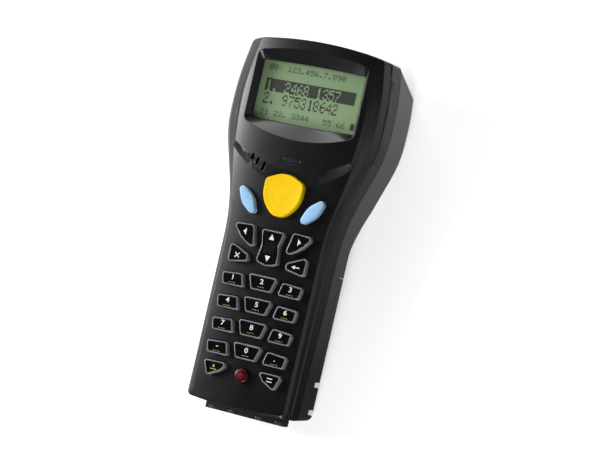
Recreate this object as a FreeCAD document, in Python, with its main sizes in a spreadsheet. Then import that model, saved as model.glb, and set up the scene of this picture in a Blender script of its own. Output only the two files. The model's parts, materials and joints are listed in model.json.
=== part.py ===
import FreeCAD, Part
import math
import os
import Sketcher

# Portable barcode data terminal: head with display, grip with keypad, battery cover on the back.
# Everything is built in the face frame: X across, Y from the grip's end to the head, Z out of the face,
# with Z = 0 on the display block and Y = 0 at half length. Each piece is then given the same Placement,
# which lays the terminal on its back, and puts the origin at the bottom centre of its bounding box.

doc = FreeCAD.newDocument("DataTerminal")
sheet = doc.addObject("Spreadsheet::Sheet", "dims")

# Driving dimensions in millimetres and degrees
driving = [
    ("length", 169.0, "overall length over the connector plate"),
    ("head_width", 77.8, "width of the head at the parting line"),
    ("grip_width", 55.6, "width of the grip at the parting line below the neck"),
    ("depth", 36.0, "thickness of the head"),
    ("grip_depth", 25.0, "thickness of the grip below the neck"),
    ("rest_tilt", 3.75, "angle between the face and the surface it lies on, degrees"),
    ("parting", 10.4, "depth of the parting line below the display block at half length"),
    ("parting_slant", 2.05, "angle at which the parting line falls away towards the head, degrees"),
    ("wall", 1.8, "shell wall"),
    ("draft", 1.5, "draft of the rear shell's sides, degrees"),
    ("end_slope", 19.5, "slope of the scanning end below the parting line, degrees"),
    ("block_step", 1.3, "height of the display block above the keypad face"),
    ("block_slope", 1.8, "width of the display block's sloped sides"),
    ("shoulder_level", 5.3, "depth of the groove along the front shell's side at half length"),
    ("shoulder_inset", 2.1, "how far the groove lies inside the parting outline"),
    ("groove", 0.45, "depth and half height of the side groove"),
    ("bevel_level", 2.6, "depth of the lower edge of the face's bevel"),
    ("bevel_inset_head", 4.1, "inset of the bevel's lower edge at the head"),
    ("bevel_inset_grip", 3.4, "inset of the bevel's lower edge at the grip"),
    ("face_inset_head", 7.3, "inset of the face's edge at the head"),
    ("face_inset_grip", 4.8, "inset of the face's edge at the grip"),
    ("gasket", 0.4, "thickness of the case gasket"),
    ("back_radius", 1.8, "rounding of the rear shell's back edges"),
    ("neck_radius", 12.0, "rounding where the head's back turns into the neck"),
    ("screen_half", 24.9, "half width of the opening over the display"),
    ("screen_top", 73.6, "upper edge of the opening over the display"),
    ("screen_bottom", 46.4, "lower edge of the opening over the display"),
    ("recess_half", 26.9, "half width of the display recess at the face"),
    ("recess_top", 79.9, "upper edge of the display recess at the face"),
    ("recess_bottom", 39.4, "lower edge of the display recess at the face"),
    ("recess_depth", 3.2, "depth of the display recess"),
    ("pane_margin", 1.7, "how far the pane reaches behind its frame"),
    ("pane_thickness", 1.2, "clear display pane"),
    ("gasket_strip", 1.1, "width of the foam strip round the display"),
    ("display_thickness", 1.2, "display glass"),
    ("key_gap", 0.3, "clearance round a key in its opening"),
    ("key_rise", 2.6, "height of a key above the keypad face"),
    ("key_lip", 0.6, "width of a key's lip under the face"),
    ("key_lip_thickness", 0.8, "thickness of a key's lip"),
    ("key_travel", 0.8, "travel of a key"),
    ("rocker_room", 0.4, "extra room above the rocker key's lip, in which it tips"),
    ("key_edge", 0.45, "rounding of a key's top edge"),
    ("stem_radius", 1.5, "radius of the stem under a key"),
    ("mat_thickness", 2.2, "keypad mat"),
    ("dome_height", 0.4, "height of a snap dome"),
    ("board_thickness", 1.2, "main board"),
    ("board_gap", 0.5, "clearance round the main board"),
    ("column_pitch", 14.12, "distance between key columns"),
    ("row_pitch", 10.29, "distance between number rows"),
    ("first_row", -25.16, "place of the first number row"),
    ("column_drop", 0.7, "how much lower the outer columns lie"),
    ("scan_key_top", 24.1, "upper edge of the scan key"),
    ("power_radius", 3.1, "radius of the power key"),
    ("screw_radius", 0.9, "radius of the screws"),
    ("screw_clearance", 0.05, "radial clearance of a screw in its boss"),
    ("boss_wall", 1.1, "wall of a screw boss"),
    ("cover_top", -15.0, "upper edge of the battery cover"),
    ("cover_bottom", -62.5, "lower edge of the battery cover"),
    ("latch_top", -65.0, "upper edge of the battery latch"),
    ("latch_bottom", -75.0, "lower edge of the battery latch"),
    ("notch_bottom", -77.5, "lower edge of the gap below the latch"),
    ("split_level", 18.5, "depth of the line where the cover meets the rear shell"),
    ("cover_gap", 0.2, "clearance round the battery cover and the latch"),
    ("battery_half", 18.5, "half width of the battery pack"),
    ("battery_top", -18.2, "upper end of the battery pack"),
    ("battery_bottom", -60.2, "lower end of the battery pack"),
    ("battery_play", 0.3, "clearance round the battery pack"),
    ("plate_half", 19.5, "half width of the connector plate"),
    ("plate_level", 12.3, "depth of the connector plate's upper edge"),
    ("plate_depth", 5.2, "height of the connector plate"),
    ("window_half", 22.0, "half width of the scan window"),
    ("window_low", 30.0, "depth of the scan window's lower edge"),
    ("window_high", 16.5, "depth of the scan window's upper edge"),
]
for row, (alias, value, note) in enumerate(driving, 1):
    sheet.set("A%d" % row, note)
    sheet.set("B%d" % row, "%g" % value)
    sheet.setAlias("B%d" % row, alias)
doc.recompute()


class Size:
    """A number that also carries the spreadsheet formula that gives it."""

    def __init__(self, value, text):
        self.value = float(value)
        self.text = text

    def __add__(self, other):
        other = as_size(other)
        return Size(self.value + other.value, "(%s + %s)" % (self.text, other.text))

    def __sub__(self, other):
        other = as_size(other)
        return Size(self.value - other.value, "(%s - %s)" % (self.text, other.text))

    def __mul__(self, other):
        other = as_size(other)
        return Size(self.value * other.value, "(%s * %s)" % (self.text, other.text))

    def __truediv__(self, other):
        other = as_size(other)
        return Size(self.value / other.value, "(%s / %s)" % (self.text, other.text))

    def __neg__(self):
        return Size(-self.value, "(0 - %s)" % self.text)

    def __radd__(self, other):
        return as_size(other) + self

    def __rsub__(self, other):
        return as_size(other) - self

    def __rmul__(self, other):
        return as_size(other) * self


def as_size(number):
    if isinstance(number, Size):
        return number
    return Size(number, "(%.6f)" % number)


def dim(alias):
    return Size(sheet.get(alias), "dims." + alias)


def root(size):
    return Size(math.sqrt(size.value), "sqrt(%s)" % size.text)


def tangent(angle):
    return Size(math.tan(math.radians(angle.value)), "tan(%s * 1deg)" % angle.text)


def sine(angle):
    return Size(math.sin(math.radians(angle.value)), "sin(%s * 1deg)" % angle.text)


def cosine(angle):
    return Size(math.cos(math.radians(angle.value)), "cos(%s * 1deg)" % angle.text)


ONE_DEGREE = Size(1, "1deg")


def bind(target, name, size):
    target.setExpression(name, as_size(size).text)


# Sketches and features of a body. Faces are left as they are cut: merging them fails on the ruled sides.

def new_sketch(body, name, level, role="XY_Plane", slant=0):
    """A sketch at a level; a slant in degrees makes it fall away towards the head."""
    sketch = body.newObject("Sketcher::SketchObject", name)
    plane = [item for item in body.Origin.OriginFeatures if item.Role == role][0]
    sketch.AttachmentSupport = [(plane, "")]
    sketch.MapMode = "FlatFace"
    slant = as_size(slant)
    sketch.AttachmentOffset = FreeCAD.Placement(FreeCAD.Vector(0, 0, as_size(level).value),
                                                FreeCAD.Rotation(FreeCAD.Vector(-1, 0, 0), slant.value))
    bind(sketch, "AttachmentOffset.Base.z", level)
    if slant.value:
        bind(sketch, "AttachmentOffset.Rotation.Angle", slant * ONE_DEGREE)
    return sketch


def hold_point(sketch, geometry, point, x, y):
    """Ties one point of a sketch to the sheet."""
    for kind, size in (("DistanceX", x), ("DistanceY", y)):
        held = Sketcher.Constraint(kind, -1, 1, geometry, point, as_size(size).value)
        number = sketch.addConstraint(held)
        bind(sketch, "Constraints[%d]" % number, size)


def hold_radius(sketch, geometry, radius):
    number = sketch.addConstraint(Sketcher.Constraint("Radius", geometry, radius.value))
    bind(sketch, "Constraints[%d]" % number, radius)


def draw_circle(sketch, x, y, radius):
    x, y, radius = as_size(x), as_size(y), as_size(radius)
    circle = Part.Circle(FreeCAD.Vector(x.value, y.value, 0), FreeCAD.Vector(0, 0, 1), radius.value)
    geometry = sketch.addGeometry(circle, False)
    hold_point(sketch, geometry, 3, x, y)
    hold_radius(sketch, geometry, radius)


SKETCH_LOOPS = 6
BOUND_CIRCLES = 8


def draw_ring(sketch, ring):
    """Draws a closed outline round circles (x, y, radius), anticlockwise, joined by their tangents.
    A circle with a negative radius bends the outline inwards."""
    ring = [tuple(as_size(item) for item in circle) for circle in ring]
    count = len(ring)
    normals = []
    for index in range(count):
        x1, y1, r1 = [item.value for item in ring[index]]
        x2, y2, r2 = [item.value for item in ring[(index + 1) % count]]
        distance = math.hypot(x2 - x1, y2 - y1)
        heading = math.atan2(y2 - y1, x2 - x1) + math.asin((r1 - r2) / distance)
        normals.append(heading - math.pi / 2)

    def touch(index, normal):
        x, y, radius = [item.value for item in ring[index % count]]
        return FreeCAD.Vector(x + radius * math.cos(normal), y + radius * math.sin(normal), 0)

    lines = []
    for index in range(count):
        line = Part.LineSegment(touch(index, normals[index]), touch(index + 1, normals[index]))
        lines.append(sketch.addGeometry(line, False))
    for index in range(count):
        x, y, radius = ring[index]
        arrive, leave = normals[index - 1], normals[index]
        if radius.value < 0:
            arrive, leave = leave + math.pi, arrive + math.pi
            radius = -radius
            first, last = 2, 1
        else:
            first, last = 1, 2
        while leave < arrive:
            leave += 2 * math.pi
        while leave - arrive > 2 * math.pi:
            leave -= 2 * math.pi
        circle = Part.Circle(FreeCAD.Vector(x.value, y.value, 0), FreeCAD.Vector(0, 0, 1), radius.value)
        arc = sketch.addGeometry(Part.ArcOfCircle(circle, arrive, leave), False)
        sketch.addConstraint(Sketcher.Constraint("Tangent", lines[index - 1], 2, arc, first))
        sketch.addConstraint(Sketcher.Constraint("Tangent", arc, last, lines[index], 1))
        if count <= BOUND_CIRCLES:
            hold_point(sketch, arc, 3, x, y)
            hold_radius(sketch, arc, radius)


def draw(sketch, loops):
    """A loop of one circle is a full circle; a longer one is a ring."""
    for loop in loops:
        if len(loop) == 1:
            draw_circle(sketch, *loop[0])
        else:
            draw_ring(sketch, loop)


def new_body(name):
    body = doc.addObject("PartDesign::Body", name + "_body")
    body.Label = name
    return body


def pad(body, name, loops, low, high, slant=0):
    sketch = new_sketch(body, name + "_sketch", low, slant=slant)
    draw(sketch, loops)
    feature = body.newObject("PartDesign::Pad", name)
    feature.Profile = sketch
    feature.Refine = False
    bind(feature, "Length", (high - low) * cosine(as_size(slant)))
    return feature


def pocket(body, name, loops, low, high, role="XY_Plane", slant=0):
    sketch = new_sketch(body, name + "_sketch", high, role, slant)
    draw(sketch, loops)
    feature = body.newObject("PartDesign::Pocket", name)
    feature.Profile = sketch
    feature.Refine = False
    bind(feature, "Length", (high - low) * cosine(as_size(slant)))
    return feature


def pockets(body, name, loops, low, high):
    """Many openings of one depth, a few to each sketch."""
    for first in range(0, len(loops), SKETCH_LOOPS):
        pocket(body, "%s%d" % (name, first), loops[first:first + SKETCH_LOOPS], low, high)


def loft(body, name, kind, sections):
    """A ruled loft through (ring, level, slant) sections; kind is AdditiveLoft or SubtractiveLoft."""
    sketches = []
    for number, (ring, level, slant) in enumerate(sections):
        sketch = new_sketch(body, "%s_section%d" % (name, number), level, slant=slant)
        draw_ring(sketch, ring)
        sketches.append(sketch)
    feature = body.newObject("PartDesign::" + kind, name)
    feature.Profile = sketches[0]
    feature.Sections = sketches[1:]
    feature.Ruled = True
    feature.Refine = False
    return feature


def fillet(body, name, base, radius, wanted):
    """Rounds the edges of a feature for which wanted(edge) is true."""
    doc.recompute()
    edges = ["Edge%d" % (number + 1) for number, edge in enumerate(base.Shape.Edges) if wanted(edge)]
    feature = body.newObject("PartDesign::Fillet", name)
    feature.Base = (base, edges)
    bind(feature, "Radius", radius)
    return feature


# Primitives and booleans

def box(name, x, y, z):
    """A block between pairs of limits along each axis."""
    block = doc.addObject("Part::Box", name)
    for axis, property_name, (low, high) in (("x", "Length", x), ("y", "Width", y), ("z", "Height", z)):
        bind(block, property_name, as_size(high) - low)
        bind(block, "Placement.Base." + axis, low)
    return block


def cylinder(name, x, y, low, high, radius):
    rod = doc.addObject("Part::Cylinder", name)
    bind(rod, "Radius", radius)
    bind(rod, "Height", as_size(high) - low)
    for axis, size in (("x", x), ("y", y), ("z", low)):
        bind(rod, "Placement.Base." + axis, size)
    return rod


def cut(name, base, tool):
    result = doc.addObject("Part::Cut", name)
    result.Refine = False
    result.Base = base
    result.Tool = tool
    result.Label = name
    return result


def fuse(name, pieces):
    result = doc.addObject("Part::MultiFuse", name)
    result.Refine = False
    result.Shapes = pieces
    result.Label = name
    return result


def common(name, pieces):
    result = doc.addObject("Part::MultiCommon", name)
    result.Refine = False
    result.Shapes = pieces
    result.Label = name
    return result


def group(name, pieces):
    """Several like solids under one name."""
    result = doc.addObject("Part::Compound", name)
    result.Links = pieces
    result.Label = name
    return result


nodes = []


def keep(piece):
    nodes.append(piece)
    return piece


# Levels, measured from the display block downwards

face = -dim("block_step")
ceiling = face - dim("wall")
key_top = face + dim("key_rise")
lip_top = ceiling - dim("key_gap")
lip_bottom = lip_top - dim("key_lip_thickness")
mat_top = lip_bottom - dim("key_travel") - dim("key_gap")
board_top = mat_top - dim("mat_thickness")
board_bottom = board_top - dim("board_thickness")
dome_top = board_top + dim("dome_height")
stem_bottom = dome_top + dim("key_travel") + 0.1
parting = -dim("parting")
rear_top = parting - dim("gasket")
slant = dim("parting_slant")
split = -dim("split_level")
half_length = dim("length") / 2


def lean(level):
    """The slant of a section of the front shell: none at the face, full at the parting line."""
    return slant * level / parting


# Outline of the terminal at the parting line

TOUCH = 0.05
CORNER = 2.0
HEAD_SIDE_RADIUS = 119.0
SHOULDER_RADIUS = 56.0
NECK_RADIUS = 90.0
TOP_RADIUS = 177.0
BOTTOM_RADIUS = 220.0
WIDEST = 54.0
NARROWEST = -8.0
PLATE_REACH = 2.5
END_TAPER = 0.4


def mirrored(circle):
    return (-as_size(circle[0]), circle[1], circle[2])


def inside_corner(x, radius, arc_y, arc_radius, way):
    """The corner circle that touches an end arc centred at (0, arc_y) from the inside."""
    reach = as_size(arc_radius) - radius + TOUCH
    return as_size(arc_y) + way * root(reach * reach - x * x)


def beside(inset, corner, station):
    """Across place of a corner circle that touches the head's side at a station along the terminal."""
    reach = HEAD_SIDE_RADIUS - as_size(inset) - corner + TOUCH
    rise = as_size(station) - WIDEST
    return dim("head_width") / 2 - HEAD_SIDE_RADIUS + root(reach * reach - rise * rise)


def body_outline(head_inset, grip_inset, top_inset, bottom_inset, corner=CORNER):
    """The parting outline drawn in by an inset at the head, the grip and the two ends."""
    head_half = dim("head_width") / 2
    grip_half = dim("grip_width") / 2
    side = (head_half - HEAD_SIDE_RADIUS, WIDEST, HEAD_SIDE_RADIUS - as_size(head_inset))
    shoulder = (head_half - SHOULDER_RADIUS, WIDEST - 4.4, SHOULDER_RADIUS - as_size(head_inset))
    neck = (grip_half + NECK_RADIUS, NARROWEST, -(NECK_RADIUS + as_size(grip_inset)))
    top_y = half_length - TOP_RADIUS
    top_radius = TOP_RADIUS - as_size(top_inset)
    bottom_y = BOTTOM_RADIUS + PLATE_REACH - half_length
    bottom_radius = BOTTOM_RADIUS - as_size(bottom_inset)
    top_x = beside(head_inset, corner, half_length - 3.5 - corner - top_inset)
    top_corner = (top_x, inside_corner(top_x, corner, top_y, top_radius, 1), corner)
    low_x = grip_half - grip_inset - END_TAPER - corner
    low_corner = (low_x, inside_corner(low_x, corner, bottom_y, bottom_radius, -1), corner)
    right = [low_corner, neck, shoulder, side, top_corner]
    left = [mirrored(circle) for circle in reversed(right)]
    return [(0, bottom_y, bottom_radius)] + right + [(0, top_y, top_radius)] + left


def display_block(inset, low_y, low_radius, low_station):
    """The raised block round the display: the head's outline closed below by a bowed edge."""
    head_half = dim("head_width") / 2
    side = (head_half - HEAD_SIDE_RADIUS, WIDEST, HEAD_SIDE_RADIUS - as_size(inset))
    top_y = half_length - TOP_RADIUS
    top_radius = TOP_RADIUS - 0.3
    top_x = beside(inset, CORNER, half_length - 3.5 - CORNER)
    top_corner = (top_x, inside_corner(top_x, CORNER, top_y, top_radius, 1), CORNER)
    low_x = beside(inset, CORNER, low_station)
    low_corner = (low_x, inside_corner(low_x, CORNER, low_y, low_radius, -1), CORNER)
    right = [low_corner, side, top_corner]
    left = [mirrored(circle) for circle in reversed(right)]
    return [(0, low_y, low_radius)] + right + [(0, top_y, top_radius)] + left


def bowed_panel(half, bottom, top, bottom_radius, top_radius, corner):
    """A panel with bowed upper and lower edges and straight sides."""
    x = half - corner
    top_y = top - top_radius
    low_y = bottom + bottom_radius
    right = [(x, inside_corner(x, corner, low_y, bottom_radius, -1), corner),
             (x, inside_corner(x, corner, top_y, top_radius, 1), corner)]
    left = [mirrored(circle) for circle in reversed(right)]
    return [(0, low_y, bottom_radius)] + right + [(0, top_y, top_radius)] + left


def leaf(x, y, half_length_along, half_width, angle, tip):
    """A pointed oval along an angle."""
    bow = (half_length_along ** 2 + half_width ** 2) / (2 * half_width)
    away = bow - half_width
    tip_place = half_length_along - 1.1 * tip
    ring = []
    corners = ((0, tip_place, tip), (90, -away, bow), (180, tip_place, tip), (270, -away, bow))
    for turn, reach, radius in corners:
        across = math.cos(math.radians(angle + turn))
        along = math.sin(math.radians(angle + turn))
        ring.append((x + reach * across, y + reach * along, as_size(radius)))
    return ring


def grown(ring, amount):
    """The same ring, its outline moved outwards everywhere by an amount."""
    return [(x, y, as_size(radius) + amount) for x, y, radius in ring]


# Keys: name, outline ring, stem place

def column_ring(side, y):
    """An outer number key; side is -1 for the left column and 1 for the right one."""
    x = side * dim("column_pitch")
    ring = [(x + side * 3.6, y - 1.7, 1.15), (x + side * 4.2, y + 1.5, 1.15),
            (x - side * 3.4, y + 2.0, 1.15), (x - side * 4.4, y - 1.7, 1.15)]
    return ring if side > 0 else list(reversed(ring))


def middle_ring(y):
    return [(-3.9, y - 2.1, 1.15), (3.9, y - 2.1, 1.15), (5.4, y + 2.4, 1.15), (-5.4, y + 2.4, 1.15)]


def pair(name, right_ring, stem):
    """The right key of a pair and its mirror image on the left."""
    left_ring = [mirrored(circle) for circle in reversed(right_ring)]
    return [(name + "_left", left_ring, (-stem[0], stem[1])), (name + "_right", right_ring, stem)]


scan_low = dim("scan_key_top") - 19.1
scan_side = (-3.7, scan_low + 12.0, 13.0)
scan_corner = (7.1, scan_low + 14.5, 2.2)
scan_ring = [(0, scan_low + 6.5, 6.5), scan_side, scan_corner, (0, dim("scan_key_top") - 11.9, 11.9),
             mirrored(scan_corner), mirrored(scan_side)]
rocker_ring = [(0, -8.4, 8.8), (4.2, -15.05, 1.0), (12.3, -8.2, -8.0), (4.1, -2.5, 1.2),
               (-4.1, -2.5, 1.2), (-12.3, -8.2, -8.0), (-4.2, -15.05, 1.0)]
keys = [("scan_key", scan_ring, (0, scan_low + 10.5)), ("rocker_key", rocker_ring, None)]
keys += pair("side_key", leaf(15.9, 9.9, 6.9, 2.75, 52.8, 1.6), (15.9, 9.9))
arrow_ring = [(9.4, -8.5, 1.6), (5.6, 3.7, 14.0), (17.0, -2.1, 1.4), (10.6, -1.8, 1.3)]
keys += pair("arrow_key", arrow_ring, (12.4, -4.3))
corner_ring = [(10.9, -15.6, 1.7), (17.3, -16.9, 1.5), (17.4, -11.9, 1.4), (10.9, -14.9, 1.6)]
keys += pair("corner_key", corner_ring, (14.6, -14.7))
number_names = [["number_key_1", "number_key_2", "number_key_3"],
                ["number_key_4", "number_key_5", "number_key_6"],
                ["number_key_7", "number_key_8", "number_key_9"],
                ["minus_key", "number_key_0", "dot_key"]]
for row, names in enumerate(number_names):
    row_y = dim("first_row") - row * dim("row_pitch")
    low_y = row_y - dim("column_drop")
    keys.append((names[0], column_ring(-1, low_y), (-dim("column_pitch"), low_y)))
    keys.append((names[1], middle_ring(row_y), (0, row_y)))
    keys.append((names[2], column_ring(1, low_y), (dim("column_pitch"), low_y)))
lower_ring = [(15.8, -68.0, 1.3), (17.5, -63.9, 1.2), (9.7, -63.9, 1.2), (11.3, -65.6, 1.3)]
keys += pair("lower_key", lower_ring, (14.0, -65.4))
keys.append(("power_key", [(0, -66.4, dim("power_radius"))], (0, -66.4)))
rocker_stems = [(0, -4.6), (0, -13.2)]
stems = [stem for name, ring, stem in keys if stem] + rocker_stems

# Screw places
board_corners = [(30.0, 73.5), (29.0, 37.5), (20.6, 2.5), (18.6, -72.6)]
board_screws = [(side * x, y) for side in (-1, 1) for x, y in board_corners]
case_screws_head = [(side * 30.9, 58.0) for side in (-1, 1)]
case_screws_grip = [(side * 22.5, -20.3) for side in (-1, 1)]
case_places = case_screws_head + case_screws_grip
boss_radius = dim("screw_radius") + dim("boss_wall")
hole_radius = dim("screw_radius") + dim("screw_clearance")

# Front shell: tapered sides with a groove, hollow below, display recess and key openings

SLANT_ROOM = 4.0
everywhere = [(-60.0, -110.0, 1.0), (60.0, -110.0, 1.0), (60.0, 110.0, 1.0), (-60.0, 110.0, 1.0)]
front = new_body("front_shell")
groove = dim("groove")
shoulder_z = -dim("shoulder_level")
shoulder_in = dim("shoulder_inset")
bevel_z = -dim("bevel_level")
loft(front, "FrontForm", "AdditiveLoft", [
    (body_outline(0, 0, 0, 0), parting, slant),
    (body_outline(shoulder_in - groove, shoulder_in - groove, 0.1, 0.3),
     shoulder_z - groove, lean(shoulder_z)),
    (body_outline(shoulder_in + groove, shoulder_in + groove, 0.1, 0.4), shoulder_z, lean(shoulder_z)),
    (body_outline(shoulder_in, shoulder_in, 0.1, 0.4), shoulder_z + groove, lean(shoulder_z)),
    (body_outline(dim("bevel_inset_head"), dim("bevel_inset_grip"), 0.2, 0.6), bevel_z, lean(bevel_z)),
    (body_outline(dim("face_inset_head"), dim("face_inset_grip"), 0.2, 1.4), face, 0)])
wall = dim("wall")
loft(front, "FrontHollow", "SubtractiveLoft", [
    (body_outline(wall, wall, wall, wall), parting, slant),
    (body_outline(shoulder_in + groove + wall, shoulder_in + groove + wall, wall + 0.1, wall + 0.4),
     shoulder_z, lean(shoulder_z)),
    (body_outline(dim("face_inset_head"), dim("bevel_inset_grip") + wall, wall + 0.2, wall + 0.8),
     ceiling, 0)])
block_low = display_block(dim("face_inset_head") + 0.1, 59.5, 40.0, 35.2)
block_high = display_block(dim("face_inset_head") + dim("block_slope"), 76.0, 50.0, 37.2)
loft(front, "DisplayBlock", "AdditiveLoft", [(block_low, face, 0), (block_high, as_size(0), 0)])
screen = [dim("screen_half"), dim("screen_bottom"), dim("screen_top"), 500.0, 500.0]
recess_floor = -dim("recess_depth")
pane_ring = bowed_panel(screen[0] + dim("pane_margin"), screen[1] - dim("pane_margin"),
                        screen[2] + dim("pane_margin"), screen[3], screen[4], 1.0)
pad(front, "DisplayLand", [grown(pane_ring, 1.2)], recess_floor, ceiling)
loft(front, "DisplayRecess", "SubtractiveLoft", [
    (bowed_panel(screen[0], screen[1], screen[2], screen[3], screen[4], 0.6), recess_floor, 0),
    (bowed_panel(dim("recess_half"), dim("recess_bottom"), dim("recess_top"), 67.6, 110.5, 3.0), as_size(0), 0)])
pad(front, "BoardBosses", [[(x, y, boss_radius)] for x, y in board_screws], board_top, ceiling)
pad(front, "CaseBosses", [[(x, y, boss_radius)] for x, y in case_places], parting - SLANT_ROOM, ceiling)
pocket(front, "PartingCut", [everywhere], parting - 2 * SLANT_ROOM, parting, slant=slant)
pocket(front, "BoardScrewHoles", [[(x, y, hole_radius)] for x, y in board_screws],
       board_top, board_top + 3.4)
pocket(front, "CaseScrewHoles", [[(x, y, hole_radius)] for x, y in case_places],
       parting - SLANT_ROOM, parting + 5.6)
for name, ring, stem in keys:
    pocket(front, "Opening_" + name, [grown(ring, dim("key_gap"))], ceiling, as_size(0))
lens_ring = leaf(0, 30.7, 4.6, 1.8, 0, 1.1)
pocket(front, "LensOpening", [lens_ring], ceiling, as_size(0))
slots = []
for x, y, reach in ((-18.4, 29.0, 0.9), (-15.6, 27.5, 1.2), (-12.4, 25.7, 1.6)):
    slots.append([(x - 0.3 - reach * 0.35, y - reach, 0.45), (x + 0.3 - reach * 0.35, y - reach, 0.45),
                  (x + 0.3 + reach * 0.35, y + reach, 0.45), (x - 0.3 + reach * 0.35, y + reach, 0.45)])
pocket(front, "BuzzerSlots", slots, ceiling, as_size(0))
keep(front)

# Case gasket in the parting line
case_gasket = new_body("case_gasket")
pad(case_gasket, "GasketStrip", [body_outline(0.3, 0.3, 0.3, 0.3)], rear_top, parting, slant)
pocket(case_gasket, "GasketInside", [body_outline(wall - 0.3, wall - 0.3, wall - 0.3, wall - 0.3)],
       rear_top - 1.0, parting + 1.0, slant=slant)
keep(case_gasket)

# Display stack, from the pane down to the board
pane_bottom = recess_floor - dim("pane_thickness")
display_bottom = board_top + 0.8
display_top = display_bottom + dim("display_thickness")
display_pane = new_body("display_pane")
pad(display_pane, "Pane", [pane_ring], pane_bottom, recess_floor)
keep(display_pane)
display_gasket = new_body("display_gasket")
pad(display_gasket, "Strip", [pane_ring], display_top, pane_bottom)
strip_in = dim("pane_margin") - dim("gasket_strip")
pocket(display_gasket, "Inside", [bowed_panel(screen[0] + strip_in, screen[1] - strip_in, screen[2] + strip_in,
                                              screen[3], screen[4], 0.5)], display_top, pane_bottom)
keep(display_gasket)
display_panel = new_body("display_panel")
pad(display_panel, "Panel", [pane_ring], display_bottom, display_top)
keep(display_panel)
backlight = new_body("display_backlight")
pad(backlight, "Tray", [grown(pane_ring, 0.6)], board_top, display_bottom)
keep(backlight)

# Status light: lens in the face, light on the board
status_lens = new_body("status_lens")
pad(status_lens, "Lens", [grown(lens_ring, -0.05)], ceiling, as_size(-0.4))
pad(status_lens, "LensFlange", [grown(lens_ring, 0.8)], ceiling - 0.8, ceiling)
keep(status_lens)
keep(group("status_light", [box("light_block", (-1.6, 1.6), (29.5, 31.9), (board_top, board_top + 1.8))]))

# Key caps with a lip under the face and a stem down to the snap dome


def top_edge_of(level):
    def wanted(edge):
        return all(abs(vertex.Z - level.value) < 1e-4 for vertex in edge.Vertexes)
    return wanted


for name, ring, stem in keys:
    cap = new_body(name)
    lip_high = lip_top if stem else lip_top - dim("rocker_room")
    pad(cap, "Lip_" + name, [grown(ring, dim("key_lip"))], lip_bottom, lip_high)
    top = pad(cap, "Cap_" + name, [ring], lip_high, key_top)
    places = [stem] if stem else rocker_stems
    fillet(cap, "Edge_" + name, top, dim("key_edge"), top_edge_of(key_top))
    pad(cap, "Stem_" + name, [[(x, y, dim("stem_radius"))] for x, y in places], stem_bottom, lip_bottom)
    keep(cap)

# Keypad mat, snap domes and main board
mat_half = dim("grip_width") / 2 - shoulder_in - groove - wall - 1.3
mat = new_body("keypad_mat")
mat_top_y = dim("scan_key_top") + 1.5
mat_ring = [(mat_half - 3.5, -70.5, 1.5), (mat_half - 1.5, -66.0, 1.5), (mat_half - 1.5, mat_top_y - 1.5, 1.5),
            (1.5 - mat_half, mat_top_y - 1.5, 1.5), (1.5 - mat_half, -66.0, 1.5), (3.5 - mat_half, -70.5, 1.5)]
pad(mat, "Sheet", [mat_ring], board_top, mat_top)
dome_radius = dim("stem_radius") + 0.6
mat_holes = [[(x, y, dome_radius + 0.2)] for x, y in stems]
mat_holes += [[(x, y, boss_radius + 0.3)] for x, y in board_screws + case_screws_grip]
mat_holes.append([(-15.5, 27.2, 5.3)])
pockets(mat, "MatHoles", mat_holes, board_top, mat_top)
keep(mat)
domes = [cylinder("dome_%d" % number, x, y, board_top, dome_top, dome_radius)
         for number, (x, y) in enumerate(stems)]
keep(group("snap_domes", domes))
board = new_body("main_board")
board_in = shoulder_in + groove + wall + dim("board_gap")
pad(board, "Board", [body_outline(board_in, board_in, board_in, board_in)], board_bottom, board_top)
board_holes = [[(x, y, hole_radius + 0.1)] for x, y in board_screws]
board_holes += [[(x, y, boss_radius + 0.3)] for x, y in case_places]
pockets(board, "BoardHoles", board_holes, board_bottom, board_top)
keep(board)
keep(group("buzzer", [cylinder("buzzer_can", -15.5, 27.2, board_top, board_top + 2.6, 5.0)]))
keep(group("backup_cell", [cylinder("cell_can", 0, 20.0, board_bottom - 2.8, board_bottom, 8.0)]))


def screw(name, x, y, head_low, head_high, tip, head_radius):
    """A screw that points up: head below, shank above."""
    head = cylinder(name + "_head", x, y, head_low, head_high, head_radius)
    shank = cylinder(name + "_shank", x, y, head_high - 0.01, tip, dim("screw_radius"))
    return fuse(name, [head, shank])


keep(group("board_screws", [screw("board_screw_%d" % number, x, y, board_bottom - 1.0, board_bottom,
                                  board_top + 3.0, 1.7) for number, (x, y) in enumerate(board_screws)]))

# Rear shell form: drafted sides, sloped scanning end, and a back that drops from the head to the grip

FAR = 120.0
DEEP = 60.0
tilt_slope = tangent(dim("rest_tilt"))
BACK_STATION = 74.0
grip_end = PLATE_REACH - half_length
form_low = -(dim("depth") + 4.0)


def rest_depth(y):
    """Depth, at a place along the terminal, of the surface that it lies on."""
    return dim("depth") - (BACK_STATION - as_size(y)) * tilt_slope


def back_profile(lift):
    """The region behind the terminal, in the YZ plane, with the back moved in by a lift."""
    neck_y = as_size(19.5)
    upright = cosine(dim("rest_tilt"))
    neck = (neck_y, -rest_depth(neck_y) + dim("neck_radius") / upright, -(dim("neck_radius") - lift))
    bend_radius = as_size(15.0)
    bend = (-5.0, -dim("grip_depth") - bend_radius, bend_radius + lift)
    end_drop = (rest_depth(grip_end) - dim("grip_depth")) / (-5.0 - grip_end)
    far_low = -dim("grip_depth") - end_drop * (FAR - 5.0)
    head_low = -rest_depth(FAR) - as_size(1.0) / upright
    return [(-FAR, -DEEP, 1.0), (FAR, -DEEP, 1.0), (FAR, head_low, 1.0 + as_size(lift)),
            neck, bend, (-FAR, far_low - 1.0, 1.0 + as_size(lift))]


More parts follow.
